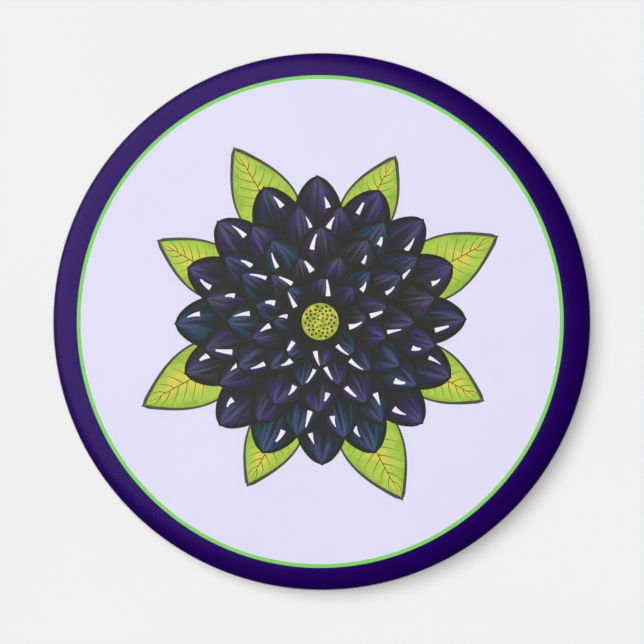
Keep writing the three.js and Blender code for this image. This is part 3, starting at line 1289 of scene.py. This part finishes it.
def make_floor():
    """A wide pale floor at the height that the magnet rests on.

    It can't be seen from below, so that it never hides the magnet's back. It isn't mirrored and
    throws no light back: the edge glow stands for that, without the noise.
    """
    finish = Finish("floor_finish", roughness=0.9, specular=0.0)
    material = finish.wear(Base_Color=finish.tinted(settings().stage.floor, 40 * MM, 0.004))
    below = finish.node("NewGeometry").outputs["Backfacing"]
    clear = finish.node("BsdfTransparent").outputs[0]
    either = finish.either(below, finish.surface.outputs[0], clear)
    finish.feed(finish.output.inputs["Surface"], either)
    reach = 2.0
    corners = [(-reach, -reach, 0), (reach, -reach, 0), (reach, reach, 0), (-reach, reach, 0)]
    floor = mesh_piece("floor", corners, [(0, 1, 2, 3)], [material])
    floor.visible_glossy = False
    floor.visible_diffuse = False
    floor.visible_shadow = False


def add_light(name, turn, elevation, spread, energy, mirrored):
    """A distant soft light that either lights surfaces or only shows in their gloss."""
    light = bpy.data.lights.new(name, "SUN")
    light.angle = spread
    light.energy = energy
    holder = new_object(name, light)
    holder.rotation_euler = (0, math.pi / 2 - elevation, turn)
    holder.location = (0.3 * math.cos(turn), 0.3 * math.sin(turn), 0.4)
    holder.visible_glossy = mirrored
    holder.visible_diffuse = not mirrored
    return holder


def energy_of(brightness, spread):
    """Energy of a light that looks as bright as b over a spread of 2 r: b pi sin(r)^2."""
    return brightness * math.pi * math.sin(spread / 2) ** 2


def make_lights():
    """A key light from the upper left, a light overhead, and a broad sheen on the film.

    To light the floor by some amount, a light takes pi times as much energy, over the sine of
    its height.
    """
    stage = settings().stage
    full = stage.floor_light * math.pi
    overhead = (1 - stage.key_share - stage.room_share) * full
    key_height = stage.key_elevation
    key = stage.key_share * full / math.sin(key_height)
    sheen = energy_of(stage.sheen_brightness, stage.sheen_spread)
    sheen_height, sheen_spread = stage.sheen_elevation, stage.sheen_spread
    add_light("key_light", stage.light_from, key_height, stage.key_spread, key, False)
    add_light("overhead_light", 0, math.pi / 2, stage.overhead_spread, overhead, False)
    add_light("sheen_light", stage.sheen_from, sheen_height, sheen_spread, sheen, True)


def light_only(light, *pieces):
    """Makes a light reach these pieces and no others."""
    reached = bpy.data.collections.new(f"lit_by_{light.name}")
    for piece in pieces:
        reached.objects.link(bpy.data.objects[piece])
    light.light_linking.receiver_collection = reached


def make_lights_below():
    """Lights from below: the floor's glow on the rim's edge, and one that shows the back.

    They pass the floor, which casts no shadow, and light only the pieces named here. The sheet
    throws none of the glow back on the floor.
    """
    stage = settings().stage
    spread = stage.edge_spread
    energy = energy_of(stage.edge_glow, spread)
    edge_glow = add_light("edge_glow", 0, -math.pi / 2, spread, energy, False)
    edge_glow.data.cycles.use_multiple_importance_sampling = False
    light_only(edge_glow, "sheet")
    bpy.data.objects["sheet"].visible_diffuse = False
    spread = stage.back_spread
    energy = energy_of(stage.back_brightness, spread)
    back_light = add_light("back_light", stage.back_from, -stage.back_depth, spread, energy, True)
    back_light.visible_diffuse = True
    light_only(back_light, "back", "disc", "pad")


def make_room():
    """The room round the stage: pale to the camera, dim as a light, and not mirrored."""
    stage = settings().stage
    world = bpy.data.worlds.new("room")
    world.cycles_visibility.glossy = False
    bpy.context.scene.world = world
    room = Nodes(world)
    dim = room.tree.nodes["Background"]
    room.feed(dim.inputs["Color"], (1, 1, 1))
    room.feed(dim.inputs["Strength"], stage.room_share * stage.floor_light)
    pale = room.node("Background", (1, 1, 1), stage.floor_light * stage.floor[0])
    seen = room.node("LightPath").outputs["Is Camera Ray"]
    surface = room.tree.nodes["World Output"].inputs["Surface"]
    room.feed(surface, room.either(seen, dim.outputs[0], pale.outputs[0]))


# ------------------------------------ Panel and registration -----------------------------------

SETTING_GROUPS = (
    FaceSizes,
    LayerSizes,
    PleatSizes,
    PlateSizes,
    MagnetSizes,
    PrintSizes,
    PrintColours,
    StageSettings,
    MagnetSettings,
)

OPERATORS = (
    MAGNET_OT_clear_film,
    MAGNET_OT_printed_sheet,
    MAGNET_OT_front_shell,
    MAGNET_OT_back_plate,
    MAGNET_OT_adhesive_pad,
    MAGNET_OT_disc_magnet,
    MAGNET_OT_panel_and_ring,
    MAGNET_OT_leaves,
    MAGNET_OT_petals,
    MAGNET_OT_flower_heart,
    MAGNET_OT_stage,
)


class MAGNET_PT_sidebar(bpy.types.Panel):
    """Lists the pieces of the fridge magnet and their settings"""

    bl_idname = "MAGNET_PT_sidebar"
    bl_label = "Fridge magnet"
    bl_space_type = "VIEW_3D"
    bl_region_type = "UI"
    bl_category = "Fridge magnet"

    def draw(self, context):
        for operator in OPERATORS:
            self.layout.operator(operator.bl_idname)
        for group in MagnetSettings.__annotations__:
            box = self.layout.box()
            box.label(text=group.replace("_", " ").capitalize())
            values = getattr(context.scene.fridge_magnet, group)
            for name in values.__annotations__:
                box.prop(values, name)


CLASSES = (*SETTING_GROUPS, *OPERATORS, MAGNET_PT_sidebar)


def register():
    """Registers the settings, operators and panel."""
    for each in CLASSES:
        bpy.utils.register_class(each)
    bpy.types.Scene.fridge_magnet = PointerProperty(type=MagnetSettings)


def unregister():
    """Takes the settings, operators and panel away again."""
    del bpy.types.Scene.fridge_magnet
    for each in reversed(CLASSES):
        bpy.utils.unregister_class(each)


def main():
    """Makes every piece and the stage."""
    register()
    for operator in OPERATORS:
        group, name = operator.bl_idname.split(".")
        getattr(getattr(bpy.ops, group), name)()


if __name__ == "__main__":
    main()
